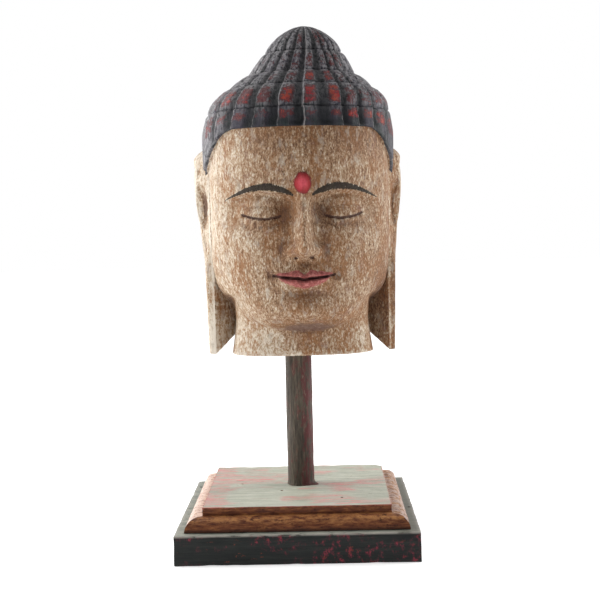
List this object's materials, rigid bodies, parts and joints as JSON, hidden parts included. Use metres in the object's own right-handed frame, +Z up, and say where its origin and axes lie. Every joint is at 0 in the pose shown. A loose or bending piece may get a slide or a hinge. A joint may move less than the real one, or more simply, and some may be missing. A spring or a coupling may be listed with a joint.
{
  "type": "carved buddha head on a stand",
  "caption": "Carved and painted wooden Buddha head with pleated hair and long ear lobes, held on a thin round post over a stepped square base.",
  "frame": {"origin": "centre of the lower slab's underside", "axes": "+Z up along the post towards the crown, the face looks along -Y, +X is the viewer's right"},
  "size_m": [0.165, 0.165, 0.3668],
  "materials": {
    "slab_paint": "worn satin paint, near black green with crimson showing through",
    "gilt_moulding": "rubbed brown and gold on the moulding, worn grey green paint on top",
    "post_paint": "dull dark olive paint with maroon streaks",
    "painted_carving": "matt cream paint worn through to brown wood, near black hair with red rubbed patches"
  },
  "bodies": {
    "root": {"lower_slab": "slab_paint", "moulded_board": "gilt_moulding", "post": "post_paint", "buddha_head": "painted_carving"}
  },
  "joints": []
}
